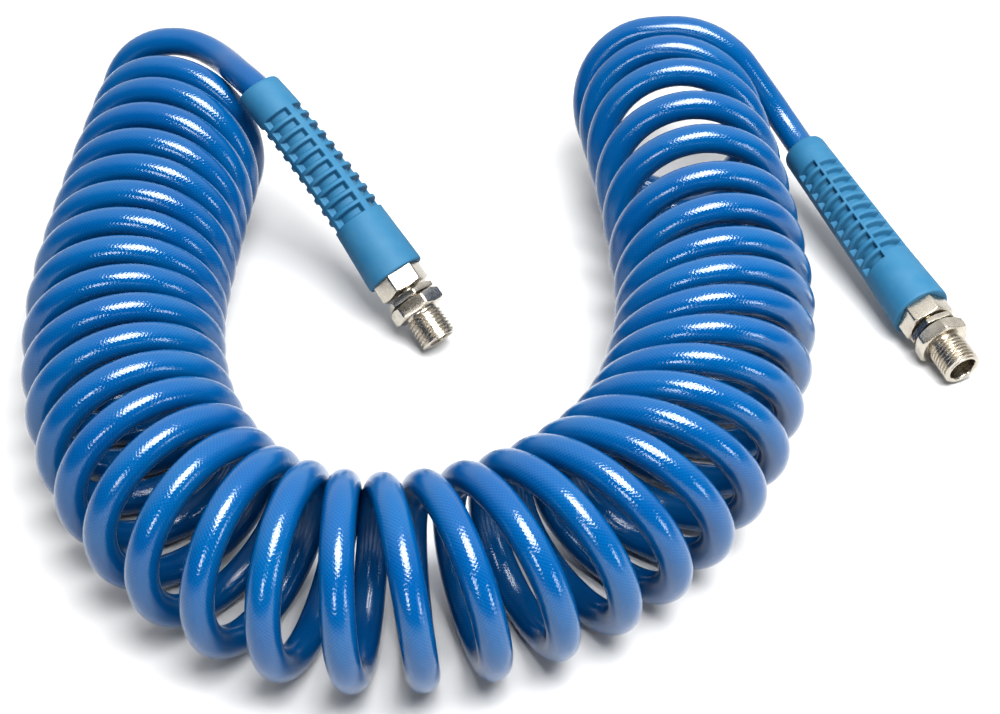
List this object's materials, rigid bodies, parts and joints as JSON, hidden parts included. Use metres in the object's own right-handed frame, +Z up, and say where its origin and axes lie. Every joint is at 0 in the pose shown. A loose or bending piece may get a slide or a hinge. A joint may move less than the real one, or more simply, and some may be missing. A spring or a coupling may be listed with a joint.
{
  "type": "coiled air hose",
  "caption": "Coiled polyurethane air hose laid in a U, with rubber bend guards and swivelling male threaded fittings on both ends.",
  "frame": {"origin": "middle of the whole part's bounding box, on the surface it lies on", "axes": "+Z up from the surface; +X across the U, from the leg with the upper guard to the leg with the lower guard; +Y towards the U's open side"},
  "size_m": [0.3161, 0.2838, 0.0715],
  "materials": {
    "hose": "glossy blue polyurethane",
    "guard": "matte blue rubber",
    "ferrule": "satin",
    "plated_brass": "nickel plated",
    "seal": "black nitrile rubber",
    "washer": "white low-friction plastic"
  },
  "bodies": {
    "hose": {"hose_coil": "hose", "hose_tail_left": "hose", "hose_tail_right": "hose", "left_bend_guard": "guard", "right_bend_guard": "guard", "left_crimp_ferrule": "ferrule", "right_crimp_ferrule": "ferrule", "left_barb_stem": "plated_brass", "right_barb_stem": "plated_brass", "left_stem_o_ring": "seal", "right_stem_o_ring": "seal"},
    "left_swivel_end": {"left_male_fitting": "plated_brass", "left_gland_nut": "plated_brass", "left_thrust_washer": "washer"},
    "right_swivel_end": {"right_male_fitting": "plated_brass", "right_gland_nut": "plated_brass", "right_thrust_washer": "washer"}
  },
  "joints": [
    {"name": "left_swivel", "type": "hinge", "parent": "hose", "child": "left_swivel_end", "pos_m": [-0.03482, 0.03874, 0.01659], "axis": [0.559, -0.6252, -0.5446], "continuous": true},
    {"name": "right_swivel", "type": "hinge", "parent": "hose", "child": "right_swivel_end", "pos_m": [0.14391, 0.02698, 0.01111], "axis": [0.4105, -0.8965, -0.1668], "continuous": true}
  ]
}
